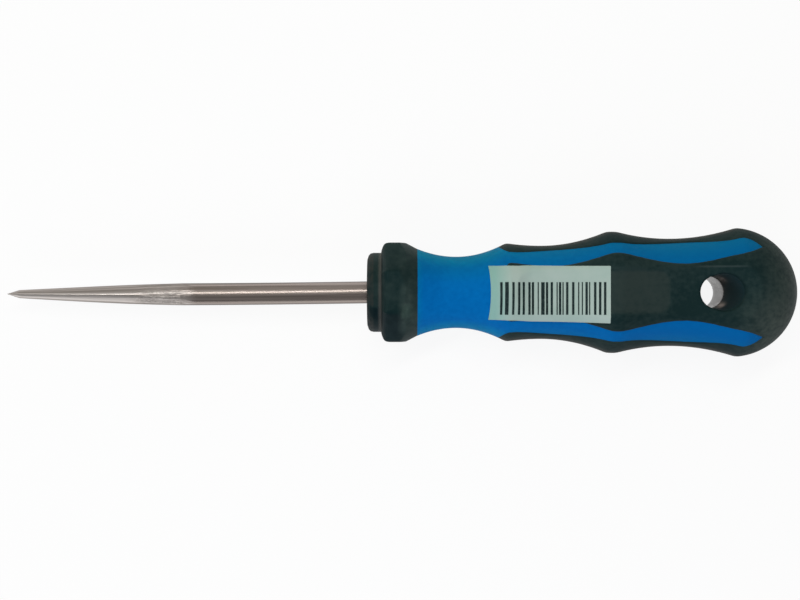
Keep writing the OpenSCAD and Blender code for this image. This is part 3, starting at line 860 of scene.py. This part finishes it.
def printed_bars():
    """Tree that sets bars and gaps of one to three units side by side by chance and lays them on paper."""
    tree = bpy.data.node_groups.new("printed_bars", "GeometryNodeTree")
    for name, kind in (("Start", "Float"), ("Unit", "Float"), ("Height", "Float"), ("Middle", "Float"),
                       ("Bars", "Int"), ("Seed", "Int"), ("Ink height", "Float"), ("Paper", "Object"),
                       ("Ink", "Material")):
        tree.interface.new_socket(name, in_out="INPUT", socket_type="NodeSocket" + kind)
    tree.interface.new_socket("Geometry", in_out="OUTPUT", socket_type="NodeSocketGeometry")
    given = add_node(tree, "NodeGroupInput").outputs
    dots = add_node(tree, "GeometryNodePoints")
    feed(tree, dots.inputs["Count"], given["Bars"])
    widths = []
    for other in (0, 100):
        chance = add_node(tree, "FunctionNodeRandomValue", data_type="FLOAT")
        chance.inputs[2].default_value = 1.0
        chance.inputs[3].default_value = 3.6
        feed(tree, chance.inputs["Seed"], reckon(tree, "ADD", given["Seed"], other))
        widths.append(reckon(tree, "MULTIPLY", reckon(tree, "FLOOR", chance.outputs[1]), given["Unit"]))
    paces = add_node(tree, "GeometryNodeAccumulateField")
    feed(tree, paces.inputs[0], reckon(tree, "ADD", *widths))
    middle = reckon(tree, "MULTIPLY_ADD", widths[0], 0.5, paces.outputs["Trailing"])
    above = 0.03
    spot = joined(tree, reckon(tree, "ADD", given["Start"], middle), given["Middle"], above)
    spread = then(tree, "GeometryNodeSetPosition", dots.outputs[0], Position=spot)
    bar = add_node(tree, "GeometryNodeMeshGrid")
    for socket, value in zip(bar.inputs, (1.0, given["Height"], 3, 31)):
        feed(tree, socket, value)
    copies = add_node(tree, "GeometryNodeInstanceOnPoints")
    feed(tree, copies.inputs["Points"], spread)
    feed(tree, copies.inputs["Instance"], bar.outputs["Mesh"])
    feed(tree, copies.inputs["Scale"], joined(tree, widths[0], 1.0, 1.0))
    whole = then(tree, "GeometryNodeRealizeInstances", copies.outputs[0])
    target = add_node(tree, "GeometryNodeObjectInfo", transform_space="ORIGINAL")
    feed(tree, target.inputs["Object"], given["Paper"])
    drop = add_node(tree, "GeometryNodeRaycast")
    feed(tree, drop.inputs["Target Geometry"], target.outputs["Geometry"])
    drop.inputs["Ray Direction"].default_value = (0, 0, -1)
    drop.inputs["Ray Length"].default_value = 0.1
    laid = add_node(tree, "ShaderNodeVectorMath", operation="ADD")
    feed(tree, laid.inputs[0], drop.outputs["Hit Position"])
    feed(tree, laid.inputs[1], joined(tree, 0.0, 0.0, given["Ink height"]))
    moved = then(tree, "GeometryNodeSetPosition", whole, Position=laid.outputs[0])
    dressed = then(tree, "GeometryNodeSetMaterial", moved, Material=given["Ink"])
    feed(tree, add_node(tree, "NodeGroupOutput").inputs[0], dressed)
    return tree


ink, tree, shader = new_material("label_ink", (0.012, 0.025, 0.026), 0.6, specular=0.15)
thin = stretched_noise(tree, (1800, 1800, 900), 3)
feed(tree, shader.inputs["Base Color"], blended(
    tree, between(tree, thin, 0.4, 0.75, 0, 1), (0.006, 0.015, 0.016), (0.022, 0.038, 0.037)))
bpy.context.view_layer.update()
bars = grow("label_bars", printed_bars(), {
    "Start": 0.0296, "Unit": 0.00026, "Height": 0.0072, "Middle": -0.0014, "Bars": 23, "Seed": 5,
    "Ink height": 0.00003, "Paper": label, "Ink": ink}, sheet=True)
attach(bars, "root")

# Stage
# A pale floor on which the tool lies on its collar and butt, a long lamp beside the camera, and the camera
# straight above, as far off as the photograph's view of the hanging hole asks.

bpy.ops.mesh.primitive_plane_add(size=6)
floor = bpy.context.object
floor.name = "floor"
collar_foot, butt_foot = (0.0054, -0.01121), (0.08649, -0.014167)
slope = math.atan2(collar_foot[1] - butt_foot[1], butt_foot[0] - collar_foot[0])
floor.rotation_euler = (0, slope, 0)
floor.location = (collar_foot[0], 0, collar_foot[1])
pale, tree, shader = new_material("pale_floor", (0.8, 0.8, 0.8), 0.9, specular=0.0)
rays = add_node(tree, "ShaderNodeLightPath")
seen = reckon(tree, "MAXIMUM", rays.outputs["Is Camera Ray"], rays.outputs["Is Transmission Ray"])
along, up, _ = piece_place(tree)
# Painted shadow: seen in shiny surfaces, the floor is darker close beside the blade, further out beside the
# handle, and far out on the upper side.
shade = between(tree, along, 0.0, 0.05, 0.25, 1)
beyond = between(tree, along, 0.0, 0.05, 1, 0.5)
beside = between(tree, reckon(tree, "ABSOLUTE", up), 0.006, 0.028, shade, beyond)
clear = reckon(tree, "MINIMUM", beside, between(tree, up, 0.12, 0.35, 1, 0.4))
seen = reckon(tree, "MAXIMUM", rays.outputs["Is Glossy Ray"], seen)
glow = add_node(tree, "ShaderNodeEmission")
glow.inputs["Color"].default_value = (1, 1, 1, 1)
feed(tree, glow.inputs["Strength"], reckon(
    tree, "MULTIPLY_ADD", rays.outputs["Is Glossy Ray"], reckon(tree, "SUBTRACT", clear, 1.0), 1.0))
mixed = add_node(tree, "ShaderNodeMixShader")
pure = between(tree, distance_from(tree, (0, 0, 0)), 0.15, 0.7, 0.9, 1.0)
feed(tree, mixed.inputs[0], product(tree, seen, pure))
feed(tree, mixed.inputs[1], shader.outputs[0])
feed(tree, mixed.inputs[2], glow.outputs[0])
feed(tree, tree.nodes["Material Output"].inputs[0], mixed.outputs[0])
floor.data.materials.append(pale)

room = bpy.data.worlds.new("studio")
bpy.context.scene.world = room
room.use_nodes = True
tree = room.node_tree
side = parts_of(tree, add_node(tree, "ShaderNodeTexCoord").outputs["Generated"])[1]
glow = blended(tree, between(tree, side, -0.3, 0.4, 0, 1), (0.26, 0.258, 0.258), (0.43, 0.42, 0.40))
rays = add_node(tree, "ShaderNodeLightPath")
sky = blended(tree, rays.outputs["Is Camera Ray"], glow, (1, 1, 1))
feed(tree, tree.nodes["Background"].inputs["Color"], sky)


def lamp(name, place, size, power, colour, glints=True):
    """A flat lamp aimed at the middle of the tool, seen in shiny surfaces or not."""
    data = bpy.data.lights.new(name, "AREA")
    data.shape = "RECTANGLE"
    data.size, data.size_y = size
    data.energy = power
    data.color = colour
    light = bpy.data.objects.new(name, data)
    light.location = place
    light.visible_glossy = glints
    light.rotation_euler = (Vector((0.008, 0, 0)) - Vector(place)).to_track_quat("-Z", "Y").to_euler()
    bpy.context.scene.collection.objects.link(light)


lamp_place, lamp_size, warm = (-0.06, 0.120, 0.42), (0.4, 0.05), (1.0, 0.995, 0.97)
lamp("long_lamp", lamp_place, lamp_size, 0.4, warm)
lamp("top_lamp", lamp_place, lamp_size, 0.7, warm, glints=False)
lamp("fill_lamp", (-0.06, -0.40, 0.30), (0.5, 0.3), 1.3, (0.84, 0.9, 1.0), glints=False)
lamp("side_lamp", (-0.06, 0.45, 0.10), (0.5, 0.2), 0.35, (0.75, 1.0, 0.6), glints=False)

eye_x, eye_y, eye_height, seen_width, sensor = 0.007514, -0.00174, 0.320, 0.18216, 36
view = bpy.data.cameras.new("camera")
view.sensor_width = sensor
view.lens = sensor * eye_height / seen_width
eye = bpy.data.objects.new("camera", view)
eye.location = (eye_x, eye_y, eye_height)
bpy.context.scene.collection.objects.link(eye)
bpy.context.scene.camera = eye
bpy.context.scene.view_settings.view_transform = "Standard"
